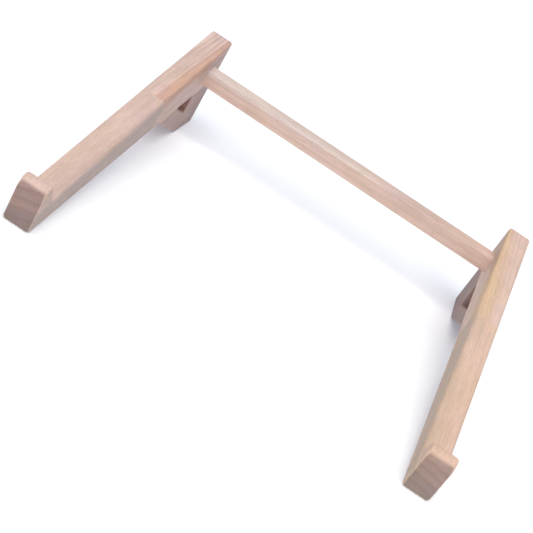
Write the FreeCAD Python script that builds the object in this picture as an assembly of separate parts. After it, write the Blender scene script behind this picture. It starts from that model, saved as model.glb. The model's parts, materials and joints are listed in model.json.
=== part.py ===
import FreeCAD, Part
import math
import os

# A small open desk stand of pale hardwood: two sloping side arms with a hooked front end,
# tied together near the back by one crossbar. The whole stand is rigid.
# +X runs across the stand, +Y runs back from the hooks, +Z is up.
# The origin is on the desk, in the middle of the space that the stand covers.
# Every arm is laid out in its own side view: "along" runs back from the front face of the hook
# and "off" stands square off the rest face (0 on the rest face, negative below it).

V = FreeCAD.Vector

# ---- driving dimensions, millimetres and degrees ----
arm_gap = 212.0              # clear width between the two arms
arm_thickness = 15.0         # board thickness of an arm
rail_length = 266.4          # from the hook's front face to the rear end
rail_depth_front = 12.0      # rail depth under the rest face, at the front face
rail_depth_rear = 29.0       # and at the rear end: the rail tapers
rest_slope = 11.6            # slope of the rest face when the stand is on a desk

lip_height = 14.5            # hook above the rest face
lip_top_thickness = 8.0      # hook at its top
lip_base_thickness = 16.5    # hook where it meets the rest face

foot_length = 97.3           # from where the foot leaves the rail's underside to the rear end
sole_length = 36.4           # flat of the foot on the desk
foot_web_left = 13.4         # wood between the left foot's slanting front and its window
foot_web_right = 9.5         # and the right foot's: its window is larger
foot_rear_web = 39.4         # wood between the window and the rear end

finger_joint_left = 14.1     # the left rail's finger joint ahead of the foot's front
finger_joint_right = 18.1    # and the right rail's
finger_length = 8.0
finger_pitch = 4.0
finger_flat = 0.6            # flat at each finger's tip and root

bar_height = 10.8            # crossbar, square off the rest face
bar_depth = 10.0             # crossbar, along the rail
bar_drop = 10.8              # crossbar's top below the rest face
bar_rear_margin = 21.0       # crossbar's rear face ahead of the rear end

dowel_diameter = 5.0
dowel_in_arm = 9.0           # blind hole depth filled in the arm
dowel_in_bar = 16.0          # and in the bar's end
glue_room = 1.0              # hole deeper than the dowel
glue_film = 0.1              # hole wider than the dowel, on its radius

# ---- rounded corners, seen from the side ----
lip_front_radius = 6.5
lip_rear_radius = 2.5
lip_root_radius = 4.0
front_bottom_radius = 3.0
rear_top_radius = 2.0
rear_bottom_radius = 2.0
sole_front_radius = 5.0
foot_root_radius = 4.0
window_front_radius = 0.6
window_top_radius = 3.0
window_low_radius = 1.2

# ---- eased long edges ----
arm_edge_radius = 1.6
window_edge_radius = 0.6
bar_edge_radius = 0.8

# ---- values that follow ----
slope = math.radians(rest_slope)
taper = math.atan((rail_depth_rear - rail_depth_front) / rail_length)
foot_start = rail_length - foot_length
cell_margin = 20.0           # how far the cutting solids reach past the wood


def underside(along):
    """Height of the rail's underside, which is also the foot's glue face."""
    return -rail_depth_front - along * math.tan(taper)


def desk_lift():
    """How far the side view is raised so that the rounded front corner just touches the desk."""
    r = front_bottom_radius
    centre_off = underside(r) + r / math.cos(taper)
    return r - (r * math.sin(slope) + centre_off * math.cos(slope))


def rear_bottom():
    """The foot's rear bottom corner, where the rear end meets the desk."""
    off = -(desk_lift() + rail_length * math.sin(slope)) / math.cos(slope)
    return (rail_length, off)


def sole_front():
    """The foot's front bottom corner, one sole length ahead on the desk."""
    along, off = rear_bottom()
    return (along - sole_length * math.cos(slope), off + sole_length * math.sin(slope))


def foot_root():
    return (foot_start, underside(foot_start))


def window_corners(web):
    """The foot's triangular window behind its front web: the rail's underside closes its top."""
    root = foot_root()
    front = sole_front()
    run = math.hypot(front[0] - root[0], front[1] - root[1])
    step = ((front[0] - root[0]) / run, (front[1] - root[1]) / run)
    base = (root[0] - step[1] * web, root[1] + step[0] * web)
    fall = step[1] / step[0]
    rear = rail_length - foot_rear_web
    low = (rear, base[1] + (rear - base[0]) * fall)
    # where the window's slanting side meets the underside
    ahead = (base[1] - base[0] * fall + rail_depth_front) / (-math.tan(taper) - fall)
    return (ahead, underside(ahead)), (rear, underside(rear)), low


def rounded_face(corners):
    """A face in the side view from (along, off, radius) corners, lines joined by tangent arcs."""
    points = [V(0, along, off) for along, off, radius in corners]
    count = len(points)
    edges = []
    previous_end = None
    first_start = None
    for i in range(count):
        here = points[i]
        back = (points[i - 1] - here).normalize()
        on = (points[(i + 1) % count] - here).normalize()
        radius = corners[i][2]
        half = back.getAngle(on) / 2
        reach = radius / math.tan(half)
        start = here + back * reach
        end = here + on * reach
        if previous_end is not None:
            edges.append(Part.LineSegment(previous_end, start).toShape())
        else:
            first_start = start
        if radius > 0:
            bisector = (back + on).normalize()
            middle = here + bisector * (radius / math.sin(half) - radius)
            edges.append(Part.Arc(start, middle, end).toShape())
        previous_end = end
    edges.append(Part.LineSegment(previous_end, first_start).toShape())
    return Part.Face(Part.Wire(edges))


def plank(corners, thickness):
    """A side-view face given thickness, centred on X = 0."""
    solid = rounded_face(corners).extrude(V(thickness, 0, 0))
    solid.translate(V(-thickness / 2, 0, 0))
    return solid


def side_edges(solid, thickness):
    """The edges that lie flat on either side face."""
    half = thickness / 2
    found = []
    for edge in solid.Edges:
        box = edge.BoundBox
        if box.XLength < 0.001 and abs(abs(box.XMin) - half) < 0.001:
            found.append(edge)
    return found


def arm_outline():
    """Corners of the arm in its side view: hook, tapering rail and foot."""
    return [
        (0.0, underside(0.0), front_bottom_radius),
        (0.0, lip_height, lip_front_radius),
        (lip_top_thickness, lip_height, lip_rear_radius),
        (lip_base_thickness, 0.0, lip_root_radius),
        (rail_length, 0.0, rear_top_radius),
        rear_bottom() + (rear_bottom_radius,),
        sole_front() + (sole_front_radius,),
        foot_root() + (foot_root_radius,),
    ]


def arm_blank():
    """The glued-up arm in one solid, with its long edges eased."""
    arm = plank(arm_outline(), arm_thickness)
    return arm.makeFillet(arm_edge_radius, side_edges(arm, arm_thickness))


def window_cutter(web):
    """A prism of the window outline, longer than the board is thick."""
    ahead, rear, low = window_corners(web)
    corners = [
        ahead + (window_front_radius,),
        rear + (window_top_radius,),
        low + (window_low_radius,),
    ]
    return plank(corners, arm_thickness + 2 * cell_margin)


def eased_window(arm, web):
    """Cut the window and ease its edges on both side faces."""
    cutter = window_cutter(web)
    box = cutter.BoundBox
    arm = arm.cut(cutter)
    found = []
    for edge in side_edges(arm, arm_thickness):
        inside_along = box.YMin - 0.01 < edge.BoundBox.YMin and edge.BoundBox.YMax < box.YMax + 0.01
        inside_off = box.ZMin - 0.01 < edge.BoundBox.ZMin and edge.BoundBox.ZMax < box.ZMax + 0.01
        if inside_along and inside_off:
            found.append(edge)
    return arm.makeFillet(window_edge_radius, found)


def finger_line(joint_at):
    """The zigzag of a finger joint, from above the rail down past its underside."""
    points = [(joint_at, cell_margin)]
    off = finger_flat / 2
    out = False
    slant = finger_pitch / 2 - finger_flat
    lowest = -rail_depth_rear - cell_margin
    while off > lowest:
        off -= finger_flat
        here = joint_at + (finger_length if out else 0.0)
        points.append((here, off))
        off -= slant
        out = not out
        points.append((joint_at + (finger_length if out else 0.0), off))
    return points


def cell(outline):
    """A thick prism over a side-view outline, used to part the arm into its pieces."""
    corners = [point + (0.0,) for point in outline]
    return plank(corners, arm_thickness + 2 * cell_margin)


def rail_cell(ahead, rear):
    """Everything above the underside line between two places along the rail."""
    high = lip_height + cell_margin
    return cell([(ahead, underside(ahead)), (ahead, high), (rear, high), (rear, underside(rear))])


def foot_cell():
    """Everything below the underside line from the foot's front to past the rear end."""
    ahead = foot_start - cell_margin
    rear = rail_length + cell_margin
    low = rear_bottom()[1] - cell_margin
    return cell([(ahead, underside(ahead)), (rear, underside(rear)), (rear, low), (ahead, low)])


def rail_pieces(arm, joint_at):
    """The rail parted at its finger joint into a front and a rear length."""
    whole = arm.common(rail_cell(-cell_margin, rail_length + cell_margin))
    zigzag = finger_line(joint_at)
    low = zigzag[-1][1]
    ahead = -cell_margin
    rear = rail_length + cell_margin
    front = whole.common(cell(zigzag + [(ahead, low), (ahead, cell_margin)]))
    back = whole.common(cell(zigzag + [(rear, low), (rear, cell_margin)]))
    return front, back


def bar_axis():
    """Middle of the crossbar's section."""
    along = rail_length - bar_rear_margin - bar_depth / 2
    return along, -bar_drop - bar_height / 2


def crossbar():
    along, off = bar_axis()
    bar = Part.makeBox(arm_gap, bar_depth, bar_height)
    bar.translate(V(-arm_gap / 2, along - bar_depth / 2, off - bar_height / 2))
    long_edges = [edge for edge in bar.Edges if edge.BoundBox.XLength > arm_gap / 2]
    bar = bar.makeFillet(bar_edge_radius, long_edges)
    for side in (-1, 1):
        bar = bar.cut(dowel_hole(side))
    return bar


def rod(radius, start, end):
    """A round rod along X on the crossbar's axis."""
    along, off = bar_axis()
    low = min(start, end)
    return Part.makeCylinder(radius, abs(end - start), V(low, along, off), V(1, 0, 0))


def dowel(side):
    face = side * arm_gap / 2
    return rod(dowel_diameter / 2, face + side * dowel_in_arm, face - side * dowel_in_bar)


def dowel_hole(side):
    face = side * arm_gap / 2
    outer = face + side * (dowel_in_arm + glue_room)
    inner = face - side * (dowel_in_bar + glue_room)
    return rod(dowel_diameter / 2 + glue_film, outer, inner)


def depth_on_desk():
    """Front and back of the arm's outline when it is turned to the slope."""
    outline = rounded_face(arm_outline())
    outline.rotate(V(0, 0, 0), V(1, 0, 0), rest_slope)
    return outline.BoundBox.YMin, outline.BoundBox.YMax


def stand_up(shape, front, back):
    """Turn a piece from the side view to the slope and set it on the desk about the origin."""
    shape.rotate(V(0, 0, 0), V(1, 0, 0), rest_slope)
    shape.translate(V(0, -(front + back) / 2, desk_lift()))
    return shape


def arm_pieces(side, joint_at, web):
    """One arm as its three pieces, moved out to its side."""
    arm = eased_window(arm_blank(), web)
    foot = arm.common(foot_cell())
    front, back = rail_pieces(arm, joint_at)
    pieces = []
    for piece in (front, back, foot):
        piece.translate(V(side * (arm_gap + arm_thickness) / 2, 0, 0))
        pieces.append(piece)
    pieces[1] = pieces[1].cut(dowel_hole(side))
    return pieces


def build():
    nodes = {}
    arms = (
        ("left", -1, finger_joint_left, foot_web_left),
        ("right", 1, finger_joint_right, foot_web_right),
    )
    for name, side, joint_ahead, web in arms:
        front, back, foot = arm_pieces(side, foot_start - joint_ahead, web)
        nodes[name + "_rail_front"] = front
        nodes[name + "_rail_rear"] = back
        nodes[name + "_foot"] = foot
        nodes[name + "_dowel"] = dowel(side)
    nodes["crossbar"] = crossbar()
    return nodes


os.makedirs("parts", exist_ok=True)
front_edge, back_edge = depth_on_desk()
for node, shape in build().items():
    shape = stand_up(shape, front_edge, back_edge)
    solids = shape.Solids
    box = shape.BoundBox
    print(node, len(solids), shape.isValid(), round(shape.Volume, 1),
          [round(value, 2) for value in (box.XMin, box.XMax, box.YMin, box.YMax, box.ZMin, box.ZMax)])
    if len(solids) == 1:
        shape = solids[0]
    shape.exportStep("parts/" + node + ".step")
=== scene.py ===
# %% [markdown]
# # A small wooden desk stand
# The stand is made of pale, finely sanded hardwood. Its two sloping arms end in a hook, and one slim
# bar ties them together near the back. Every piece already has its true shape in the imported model, with
# its corners rounded and its edges eased, so nothing is remodelled here. What is left to do is what a
# finisher and a photographer would do: choose the board that each piece was cut from, give the wood its
# grain and its sanded surface, and set the stand on a pale table under soft light.

# %% Load the stand
import json
import math
from collections import namedtuple

import bmesh
import bpy
from mathutils import Euler, Matrix, Vector


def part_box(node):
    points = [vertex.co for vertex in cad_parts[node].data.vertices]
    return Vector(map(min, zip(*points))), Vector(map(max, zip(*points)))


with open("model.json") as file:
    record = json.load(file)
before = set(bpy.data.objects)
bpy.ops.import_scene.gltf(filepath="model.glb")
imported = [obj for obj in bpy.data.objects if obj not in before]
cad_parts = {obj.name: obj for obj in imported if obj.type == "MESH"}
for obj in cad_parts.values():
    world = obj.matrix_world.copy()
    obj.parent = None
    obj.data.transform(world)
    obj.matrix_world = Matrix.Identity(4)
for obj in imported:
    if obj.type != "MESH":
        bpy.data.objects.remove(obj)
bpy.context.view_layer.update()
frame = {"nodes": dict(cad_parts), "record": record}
nodes = frame["nodes"]
print("pieces:", sorted(nodes))

# %% [markdown]
# ## Where the boards lie
# Wood only looks right if its grain runs the way the piece was cut. The arms' grain follows the sloping
# rails, the crossbar's runs from arm to arm, and the dowels' runs along the dowels. The slope could be
# typed in, but the frame knows it: the mount on the rest face says which way that face points.

# %% Find the slope
mounts = {mount["name"]: mount for mount in frame["record"]["mounts"]}
rest_normal = Vector(mounts["sheet_rest"]["axis"])
slope = math.atan2(-rest_normal.y, rest_normal.z)
print("slope of the rest faces:", round(math.degrees(slope), 2), "degrees")

# %% [markdown]
# ## Colours and nodes
# Colours are written as the sRGB hex values that a colour picker shows. The shader works in linear
# light, so one function turns them over. A second function adds a shader node: it takes the kind of
# node, its settings and what goes into each input, either a value or the output of another node.

# %% Two helpers
def linear(hex_colour):
    """An sRGB hex colour as linear RGBA."""
    channels = [int(hex_colour[i:i + 2], 16) / 255 for i in (1, 3, 5)]
    return [c / 12.92 if c <= 0.04045 else ((c + 0.055) / 1.055) ** 2.4 for c in channels] + [1.0]


def add(tree, kind, settings=None, inputs=None):
    """Add one node; inputs maps a socket's name or number to a value or to another node's output."""
    node = tree.nodes.new(kind)
    for name, value in (settings or {}).items():
        setattr(node, name, value)
    for name, value in (inputs or {}).items():
        if isinstance(value, bpy.types.NodeSocket):
            tree.links.new(value, node.inputs[name])
        else:
            node.inputs[name].default_value = value
    return node


print("mid grey #808080 in linear light:", round(linear("#808080")[0], 3))

# %% [markdown]
# ## A piece in its log
# The wood could be a flat picture wrapped round each piece, but then the grain would not turn the corner
# from a face to an end. So the wood is a solid: each piece sits somewhere in its own log, with its
# fibres along the log, and any face that is cut through it shows the right figure. These two functions
# give the place in the log in millimetres, and that place counted in longer or wider steps.

# %% Places in the log
mm = 0.001


def place_in_log(tree, seen, middle, grain):
    """Millimetres from the middle of the piece, turned by grain so that the fibres run along Y."""
    from_middle = add(tree, "ShaderNodeVectorMath", {"operation": "SUBTRACT"},
                      {0: seen.outputs["Object"], 1: middle})
    turned = add(tree, "ShaderNodeMapping", {"vector_type": "POINT"},
                 {"Vector": from_middle.outputs[0], "Rotation": grain, "Scale": [1 / mm] * 3})
    return turned.outputs[0]


def in_steps(tree, board, across, along):
    """The same place, with one unit to so many mm across and along the fibres."""
    return add(tree, "ShaderNodeVectorMath", {"operation": "DIVIDE"},
               {0: board, 1: (across, along, across)}).outputs[0]


print("one metre is", round(1 / mm), "steps of the board's own measure")

# %% [markdown]
# ## Growth rings
# The rings are cylinders round the pith. Straight lines could stand in for them, but then the ends would
# have no arcs. A real log is never straight, so the rings stray by a few millimetres, and each one
# darkens slowly to its late wood and then starts again pale.

# %% Rings
stray_length = 26.0     # mm from one stray to the next across the grain
stray_stretch = 8.0     # strays are this many times longer along the grain
stray_detail = 3.0
stray_roughness = 0.5
ring_curve = [(0.12, 0.0), (0.55, 0.25), (0.88, 1.0)]   # how dark a ring is on its way out
ring_edge = 0.25        # how dark it is where one ring ends and the next starts


def distance_from_pith(tree, board, pith, stray):
    """How far a place is from the middle of the log, in mm, where the rings stray by so many mm."""
    steps = in_steps(tree, board, stray_length, stray_stretch * stray_length)
    drift = add(tree, "ShaderNodeTexNoise", None,
                {"Vector": steps, "Scale": 1.0, "Detail": stray_detail,
                 "Roughness": stray_roughness})
    half = stray / 2    # the noise is one half on average, so this keeps the pith in its place
    from_pith = add(tree, "ShaderNodeVectorMath", {"operation": "SUBTRACT"},
                    {0: board, 1: (pith[0] + half, 0.0, pith[1] + half)})
    bent = add(tree, "ShaderNodeVectorMath", {"operation": "MULTIPLY_ADD"},
               {0: drift.outputs["Color"], 1: (stray, 0.0, stray), 2: from_pith.outputs[0]})
    across = add(tree, "ShaderNodeVectorMath", {"operation": "MULTIPLY"},
                 {0: bent.outputs[0], 1: (1.0, 0.0, 1.0)})
    return add(tree, "ShaderNodeVectorMath", {"operation": "LENGTH"},
               {0: across.outputs[0]}).outputs["Value"]


def late_wood(tree, radius, ring_gap):
    """0 in the pale start of a ring and 1 in its dark late wood."""
    turns = add(tree, "ShaderNodeMath", {"operation": "DIVIDE"}, {0: radius, 1: ring_gap})
    ring = add(tree, "ShaderNodeMath", {"operation": "FRACT"}, {0: turns.outputs[0]})
    shade = add(tree, "ShaderNodeFloatCurve", None, {"Value": ring.outputs[0]})
    curve = shade.mapping.curves[0]
    curve.points[0].location = (0.0, ring_edge)
    curve.points[1].location = (1.0, ring_edge)
    for point in ring_curve:
        curve.points.new(*point)
    shade.mapping.update()
    return shade.outputs[0]


print("rings stray from true circles every", stray_length, "mm across the grain")

# %% [markdown]
# ## Sapwood and end grain
# Near the bark lies the sapwood, in another colour, outside a set radius. On the rails' front lengths the
# same radius parts the top from a greyer, darker colour below it, which is painted shade for their sides.
# A face that cuts across the fibres shows their open ends, which drink in light: it is darker and greyer.
# The piece's own normal tells where that is, so the dark end runs softly into the rounded edges, as it
# does on sanded wood.

# %% Sapwood and end grain
sap_edge = (-1.5, 3.0)      # mm, the soft edge of the sapwood
end_grain_starts = 0.55     # how squarely a face must cut the fibres to start to darken
end_grain_full = 0.85


def sapwood_and_painted_shade(tree, radius, sap_radius):
    """0 in the heart of the log and 1 outside the radius where its sapwood starts. On the rails' front
    lengths the 0 side is painted shade for their sides.
    """
    return add(tree, "ShaderNodeMapRange", {"interpolation_type": "SMOOTHSTEP"},
               {"Value": radius, "From Min": sap_radius + sap_edge[0],
                "From Max": sap_radius + sap_edge[1]}).outputs[0]


def end_grain(tree, seen, grain):
    """1 on faces that cut across the fibres and 0 on faces along them."""
    fibre_way = Euler(grain, "XYZ").to_matrix().inverted() @ Vector((0, 1, 0))
    along = add(tree, "ShaderNodeVectorMath", {"operation": "DOT_PRODUCT"},
                {0: seen.outputs["Normal"], 1: fibre_way})
    facing = add(tree, "ShaderNodeMath", {"operation": "ABSOLUTE"}, {0: along.outputs["Value"]})
    return add(tree, "ShaderNodeMapRange", {"interpolation_type": "SMOOTHSTEP"},
               {"Value": facing.outputs[0], "From Min": end_grain_starts,
                "From Max": end_grain_full}).outputs[0]


print("end grain starts", round(math.degrees(math.acos(end_grain_starts))), "degrees from the fibres")

# %% [markdown]
# ## Fibres and pores
# Long fibres lie side by side in paler and darker bands. Sanding leaves soft cloudy patches, and the wood
# turns a little pinker and yellower from place to place. All of these are noise that is long along the
# fibres and narrow across them. Open pores are short dark dashes, made with the cells of a Voronoi
# pattern, because noise has no separate spots.

# %% Fibres and pores
figure_sizes = {                            # mm across and along the grain, then detail and roughness
    "bands": ((1.2, 80.0), 2.5, 0.5),
    "fibres": ((0.5, 10.0), 2.0, 0.6),      # real ones are far finer, drawn this coarse so that they show
    "clouds": ((9.0, 22.0), 2.0, 0.55),
    "blush": ((13.0, 40.0), 2.0, 0.5),
}
pore_size = (0.8, 5.0)      # mm between pores; real ones are 0.3 mm apart, drawn coarser to show
pore_edge = (0.10, 0.32)    # part of that size at which a pore starts to fade and is gone


def figure_of_fibres(tree, board):
    """The bands, fibres, clouds and blush of a board, each a value round one half."""
    figure = {}
    for name, (size, detail, rough) in figure_sizes.items():
        figure[name] = add(tree, "ShaderNodeTexNoise", None,
                           {"Vector": in_steps(tree, board, *size), "Scale": 1.0, "Detail": detail,
                            "Roughness": rough}).outputs["Fac"]
    return figure


def pores(tree, board):
    """1 in the middle of a pore and 0 away from it."""
    cells = add(tree, "ShaderNodeTexVoronoi", {"feature": "F1"},
                {"Vector": in_steps(tree, board, *pore_size), "Scale": 1.0, "Randomness": 1.0})
    return add(tree, "ShaderNodeMapRange", {"interpolation_type": "SMOOTHSTEP"},
               {"Value": cells.outputs["Distance"], "From Min": pore_edge[0], "From Max": pore_edge[1],
                "To Min": 1.0, "To Max": 0.0}).outputs[0]


print("widths across the grain in mm:", {name: row[0][0] for name, row in figure_sizes.items()})

# %% [markdown]
# ## The wood's colour
# Plain wood turns to sapwood, and both darken towards the colour of the late rings, in bands and rings.
# The rings show more on the ends than along the sides. Then warmer and cooler patches tint it all.

# %% Colour of a board
in_colour = {"data_type": "RGBA"}   # a Mix node for colours: they go into sockets 6 and 7, and out of 2
noise_range = (0.3, 0.7)        # most of the noise lies between these
band_range = (0.38, 0.72)       # the noise from which the bands start and are full
ring_depth = (0.18, 0.36)       # how much of the late colour the rings get, on long faces and on ends
warm_blush = "#FFFFF6"          # tints of the warmer and the cooler patches
cool_blush = "#FBFAFF"


def board_colour(tree, radius, figure, cut_ends, log, tone):
    """The wood's own colour, before light and shade."""
    late = linear(tone.late)
    wood = add(tree, "ShaderNodeMix", in_colour,
               {"Factor": sapwood_and_painted_shade(tree, radius, log.sap_radius), 6: linear(tone.plain),
                7: linear(tone.sap)})
    band_share = add(tree, "ShaderNodeMapRange", None,
                     {"Value": figure["bands"], "From Min": band_range[0], "From Max": band_range[1],
                      "To Min": 0.0, "To Max": tone.banding})
    banded = add(tree, "ShaderNodeMix", in_colour,
                 {"Factor": band_share.outputs[0], 6: wood.outputs[2], 7: late})
    depth = add(tree, "ShaderNodeMapRange", None,
                {"Value": cut_ends, "To Min": ring_depth[0], "To Max": ring_depth[1]})
    ring_share = add(tree, "ShaderNodeMath", {"operation": "MULTIPLY"},
                     {0: late_wood(tree, radius, log.ring_gap), 1: depth.outputs[0]})
    ringed = add(tree, "ShaderNodeMix", in_colour,
                 {"Factor": ring_share.outputs[0], 6: banded.outputs[2], 7: late})
    cool_share = add(tree, "ShaderNodeMapRange", None,
                     {"Value": figure["blush"], "From Min": noise_range[0], "From Max": noise_range[1]})
    tint = add(tree, "ShaderNodeMix", in_colour,
               {"Factor": cool_share.outputs[0], 6: linear(warm_blush), 7: linear(cool_blush)})
    return add(tree, "ShaderNodeVectorMath", {"operation": "MULTIPLY"},
               {0: ringed.outputs[2], 1: tint.outputs[2]}).outputs[0]


print("plain wood and late rings differ most on the ends:", ring_depth[1])

# %% [markdown]
# ## Light and shade in the wood
# Clouds and fibres make the colour a little paler or darker, pores darken it, and the cut ends take a
# darker tint; on the feet that tint is nearly white, painted light in the shaded insides of their
# windows.
# They multiply the colour, so a pale board and a dark one change by the same share.

# %% Light and shade
cloud_light = (0.94, 1.06)      # darkest and palest
fibre_light = (0.91, 1.08)
pore_shade = -0.14


def shaded_wood(tree, wood, figure, pore, cut_ends, cut_tint):
    """The wood's colour with its clouds, fibres and pores, and with darker ends; on the feet the end tint
    is painted light for their shaded windows.
    """
    shades = []
    for name, light in (("clouds", cloud_light), ("fibres", fibre_light)):
        shades.append(add(tree, "ShaderNodeMapRange", None,
                          {"Value": figure[name], "From Min": noise_range[0],
                           "From Max": noise_range[1], "To Min": light[0], "To Max": light[1]}))
    soft = add(tree, "ShaderNodeMath", {"operation": "MULTIPLY"},
               {0: shades[0].outputs[0], 1: shades[1].outputs[0]})
    pored = add(tree, "ShaderNodeMath", {"operation": "MULTIPLY_ADD"},
                {0: pore, 1: pore_shade, 2: soft.outputs[0]})
    sides = add(tree, "ShaderNodeVectorMath", {"operation": "SCALE"},
                {0: wood, "Scale": pored.outputs[0]})
    # the tint of the ends; on the feet it is nearly white, painted light in their shaded windows
    ends = add(tree, "ShaderNodeVectorMath", {"operation": "MULTIPLY"},
               {0: sides.outputs[0], 1: linear(cut_tint)[:3]})
    return add(tree, "ShaderNodeMix", in_colour,
               {"Factor": cut_ends, 6: sides.outputs[0], 7: ends.outputs[0]}).outputs[2]


print("fibres change the light by", fibre_light, "and clouds by", cloud_light)

# %% [markdown]
# ## Sanded hardwood
# A pale, pinkish, close-grained hardwood, sanded fine and left bare or barely oiled. To the eye it is
# soft and matte, with no gloss, and it goes from pinker to yellower more from board to board than within
# one. Wood's index of refraction is near 1.5. Fine sanding leaves it rough, with little shine, and the
# pores are only just felt, so the bump is a few hundredths of a millimetre.

# %% Sanded hardwood
wood_ior = 1.5
wood_shine = 0.3
sanded_roughness = (0.55, 0.75)
relief = 0.05           # mm
relief_strength = 0.5
pore_depth = -0.8       # beside a fibre's height of 1


def hardwood(name, middle, grain, log, tone):
    """Sanded hardwood, cut from its own log.

    middle is the middle of the piece, and grain turns it so that its fibres run along Y. log is the Log
    that the board was sawn from, and tone is the Tone of its wood."""
    material = bpy.data.materials.new(name)
    material.use_nodes = True
    tree = material.node_tree
    tree.nodes.clear()
    seen = add(tree, "ShaderNodeTexCoord")
    board = place_in_log(tree, seen, middle, grain)
    radius = distance_from_pith(tree, board, log.pith, log.stray)
    figure = figure_of_fibres(tree, board)
    pore = pores(tree, board)
    cut_ends = end_grain(tree, seen, grain)
    wood = board_colour(tree, radius, figure, cut_ends, log, tone)
    colour = shaded_wood(tree, wood, figure, pore, cut_ends, tone.cut_tint)
    roughness = add(tree, "ShaderNodeMapRange", None,
                    {"Value": figure["fibres"], "To Min": sanded_roughness[0],
                     "To Max": sanded_roughness[1]})
    height = add(tree, "ShaderNodeMath", {"operation": "MULTIPLY_ADD"},
                 {0: pore, 1: pore_depth, 2: figure["fibres"]})
    bump = add(tree, "ShaderNodeBump", None,
               {"Height": height.outputs[0], "Strength": relief_strength, "Distance": relief * mm})
    shader = add(tree, "ShaderNodeBsdfPrincipled", None,
                 {"Base Color": colour, "Roughness": roughness.outputs[0],
                  "Normal": bump.outputs[0], "IOR": wood_ior, "Specular IOR Level": wood_shine})
    add(tree, "ShaderNodeOutputMaterial", None, {"Surface": shader.outputs[0]})
    return material


print("relief of the sanded surface:", relief, "mm")

# %% [markdown]
# ## A board for every piece
# A maker glues such arms from short offcuts, so neighbours never match: a plain peach length meets a
# paler striped one. Each piece gets the log that it was sawn from. The rails' rear lengths were sawn near
# the bark, so a yellower strip of sapwood runs along their inner top edge. The rails' front lengths have
# their sapwood colour on top and a greyer, darker colour below, which is painted shade for their inner
# sides. The crossbar is paler and greyer on top than on its front. No board lies quite straight in its
# log, so the fibres run off by a degree or two.

# %% Grain and colours
def along_rail(rise, turn):
    """Fibres along the rails, but for the degrees that the log lay askew in the saw."""
    return (-slope + math.radians(rise), 0.0, math.radians(turn))


def along_bar(rise, turn):
    """Fibres from arm to arm, with the same small errors."""
    return (-slope, math.radians(rise), math.radians(90 + turn))


# the colours of plain wood, late rings and sapwood, the tint of cut ends, and how strong the bands are;
# on the rails' front lengths the plain colour is greyed and darkened as painted shade for their inner
# sides
Tone = namedtuple("Tone", ["plain", "late", "sap", "cut_tint", "banding"])
# peach is the left front length: its plain colour, below the top, is greyed and darkened as painted shade
# for the inner side
peach_with_painted_side_shade = Tone("#C8B4AC", "#B89A8E", "#DFC2B5", "#B9B3B6", 0.30)
striped = Tone("#E4CAC0", "#B99A90", "#E0B39B", "#B3AFB2", 0.70)
rosy = Tone("#E4C7B7", "#C4A191", "#E4C3A2", "#B1B3C0", 0.30)
# honey is the right front length: its plain colour, below the top, is painted shade for the inner side,
# as in peach
honey_with_painted_side_shade = Tone("#CFB9A7", "#BE9C86", "#E5C4AE", "#BAB9C4", 0.30)
# ruddy and umber are the feet: their nearly white tint of cut ends is painted light, which lightens the
# shaded insides of their windows
ruddy = Tone("#BEA49D", "#A1857F", "#C9A78F", "#E0CCCE", 0.30)
umber = Tone("#AC948F", "#937970", "#B99A86", "#F4F2F0", 0.40)
# the crossbar: paler and greyer on its top than on its front
pale_topped = Tone("#DDC1B5", "#B58E7A", "#DECEC6", "#B3AFB2", 0.30)
straw = Tone("#CDAD8F", "#B08D6C", "#D3B792", "#B3AFB2", 0.30)
print("rails' fibres are turned by", [round(math.degrees(angle), 1) for angle in along_rail(0.0, 0.0)])

# %% Boards
no_sapwood = 300.0  # mm, further out than any piece lies

# in mm: the pith from the middle of the piece, across the board and up through it; the width of a growth
# ring; the radius where the sapwood starts, which on the rails' front lengths is where the painted shade
# of their sides gives way to the top; and how far the rings stray from true circles
Log = namedtuple("Log", ["pith", "ring_gap", "sap_radius", "stray"])
boards = {
    # the front lengths' logs put the sapwood radius just under the top, so the rest of the piece takes
    # the painted side shade
    "left_rail_front": (along_rail(0.2, 1.5), Log((60, -183), 5.5, 195.5, 3), peach_with_painted_side_shade),
    "left_rail_rear": (along_rail(0.0, 2.5), Log((-56, -49), 3.4, 83.0, 2), striped),
    "left_foot": (along_rail(0.0, 1.0), Log((-40, -30), 4.5, no_sapwood, 8), ruddy),
    # as on the left, all but the top of this length takes the painted side shade
    "right_rail_front": (along_rail(0.2, -1.2), Log((-20, -143), 5.0, 149.0, 3), honey_with_painted_side_shade),
    "right_rail_rear": (along_rail(0.0, -2.5), Log((56, -49), 6.0, 82.5, 2), rosy),
    "right_foot": (along_rail(0.0, 1.0), Log((30, -60), 4.5, no_sapwood, 8), umber),
    "crossbar": (along_bar(1.2, 1.0), Log((0, -80), 5.0, 84.0, 3), pale_topped),
    "left_dowel": (along_bar(0.0, 0.0), Log((60, -60), 4.0, no_sapwood, 8), straw),
    "right_dowel": (along_bar(0.0, 0.0), Log((50, -60), 4.0, no_sapwood, 8), straw),
}
for name, board in boards.items():
    low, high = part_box(name)
    wood = hardwood("sanded_hardwood_" + name, (Vector(low) + Vector(high)) / 2, *board)
    nodes[name].data.materials.clear()
    nodes[name].data.materials.append(wood)
print("boards:", len(boards), "with", len(wood.node_tree.nodes), "shader nodes in the last one")

# %% [markdown]
# ## Table and backdrop
# The stand sits on a plain white table. A small even glow in the table's finish stands for the light
# that a bright studio table throws back up, which keeps the shadows pale. White laminate is hard and
# smooth, but finely textured and so nearly matte. Seen from low down the table has an edge, so a round
# wall of white background paper stands there. It would block the lights, which come from far away, so it
# is set to be seen only, and to throw neither light nor shadow.

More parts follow.
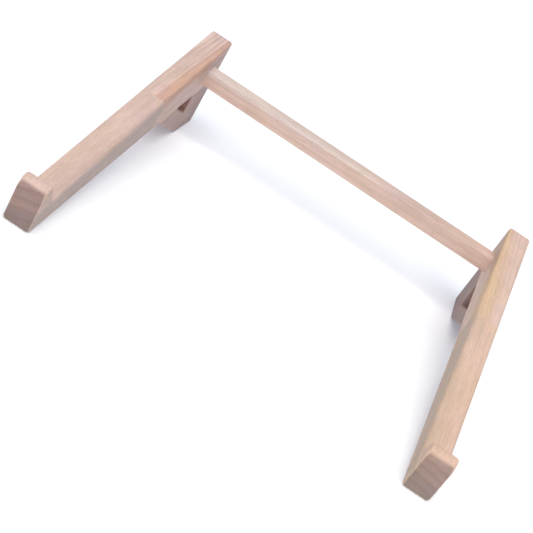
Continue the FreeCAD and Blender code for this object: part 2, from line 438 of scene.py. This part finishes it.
# %% Table
table_size = 8.0        # m
table_roughness = 0.9
table_glow = 0.24
bpy.ops.mesh.primitive_plane_add(size=table_size)
table = bpy.context.object
table.name = "table"
finish = bpy.data.materials.new("white_laminate")
finish.use_nodes = True
laminate = finish.node_tree.nodes["Principled BSDF"].inputs
laminate["Base Color"].default_value = linear("#F3F5F7")
laminate["Roughness"].default_value = table_roughness
laminate["Emission Color"].default_value = linear("#EEF3FF")
laminate["Emission Strength"].default_value = table_glow
table.data.materials.append(finish)
print("table:", [round(side, 1) for side in table.dimensions], "m")

# %% Backdrop
wall_radius = 3.9       # m
wall_height = 4.0
wall_sides = 96
paper_glow = 1.0        # pure white to the eye
wall_shape = bmesh.new()
bmesh.ops.create_cone(wall_shape, cap_ends=False, segments=wall_sides, radius1=wall_radius,
                      radius2=wall_radius, depth=wall_height)
wall_mesh = bpy.data.meshes.new("backdrop")
wall_shape.to_mesh(wall_mesh)
wall_shape.free()
backdrop = bpy.data.objects.new("backdrop", wall_mesh)
bpy.context.scene.collection.objects.link(backdrop)
paper = bpy.data.materials.new("white_background_paper")
paper.use_nodes = True
sheet = paper.node_tree.nodes["Principled BSDF"].inputs
sheet["Base Color"].default_value = linear("#FFFFFF")
sheet["Emission Color"].default_value = linear("#FFFFFF")
sheet["Emission Strength"].default_value = paper_glow
wall_mesh.materials.append(paper)
backdrop.visible_diffuse = False
backdrop.visible_glossy = False
backdrop.visible_shadow = False
print("backdrop:", len(wall_mesh.polygons), "faces")

# %% [markdown]
# ## Light
# The main light is a broad soft source in front and above, so the sloping tops are brightest, the bar's
# front is a little darker and the arms' inner sides fall into soft shade. It could be an area light, but
# a near one fades from the front of the stand to the back. A distant sun that is as wide as a window
# doesn't. A weaker one behind gives the tops a faint sheen, and a cool white room fills the shadows.

# %% Light
room_light = 0.15
world = bpy.data.worlds.new("white_room")
bpy.context.scene.world = world
world.use_nodes = True
world.node_tree.nodes["Background"].inputs["Color"].default_value = linear("#C4DAFF")
world.node_tree.nodes["Background"].inputs["Strength"].default_value = room_light

# in front (-1) or behind (1), degrees up, degrees wide, watts on a square metre, and colour
windows = {
    "front_window": (-1, 55, 58, 3.05, "#FFFCF6"),
    "back_wall": (1, 40, 60, 0.6, "#F0F5FF"),
}
for name, (side, height, width, power, colour) in windows.items():
    light = bpy.data.lights.new(name, "SUN")
    light.energy = power
    light.angle = math.radians(width)
    light.color = linear(colour)[:3]
    lamp = bpy.data.objects.new(name, light)
    bpy.context.scene.collection.objects.link(lamp)
    way = Vector((0, side * math.cos(math.radians(height)), math.sin(math.radians(height))))
    lamp.rotation_euler = way.to_track_quat("Z", "Y").to_euler()
    print(name, "shines from", [round(value, 2) for value in way])

# %% [markdown]
# ## Camera
# A long lens looks down at the stand from the front. The camera is rolled over, so the crossbar runs
# down to the right across the view. It is set as a photographer would say it: how high it looks from,
# how far round it stands, how much it is rolled, how far off it is, and what it points at.

# %% Camera
look_down = math.radians(22.14)
round_to_right = math.radians(1.58)
roll = math.radians(33.15)
distance = 0.7242       # m
sensor_width = 36.0     # mm
focal_length = 87.82    # mm
aim = Vector((-0.0063, -0.0113, 0.0046))    # m
forward = Vector((-math.sin(round_to_right) * math.cos(look_down),
                  math.cos(round_to_right) * math.cos(look_down), -math.sin(look_down)))
level_right = forward.cross(Vector((0, 0, 1))).normalized()
level_up = level_right.cross(forward)
right = level_right * math.cos(roll) + level_up * math.sin(roll)
up = right.cross(forward)
lens = bpy.data.cameras.new("camera")
lens.sensor_width = sensor_width
lens.lens = focal_length
camera = bpy.data.objects.new("camera", lens)
bpy.context.scene.collection.objects.link(camera)
turn = Matrix((right, up, -forward)).transposed().to_4x4()
camera.matrix_world = Matrix.Translation(aim - forward * distance) @ turn
bpy.context.scene.camera = camera
bpy.context.scene.view_settings.view_transform = "Standard"
print("camera at", [round(value, 4) for value in camera.matrix_world.translation])
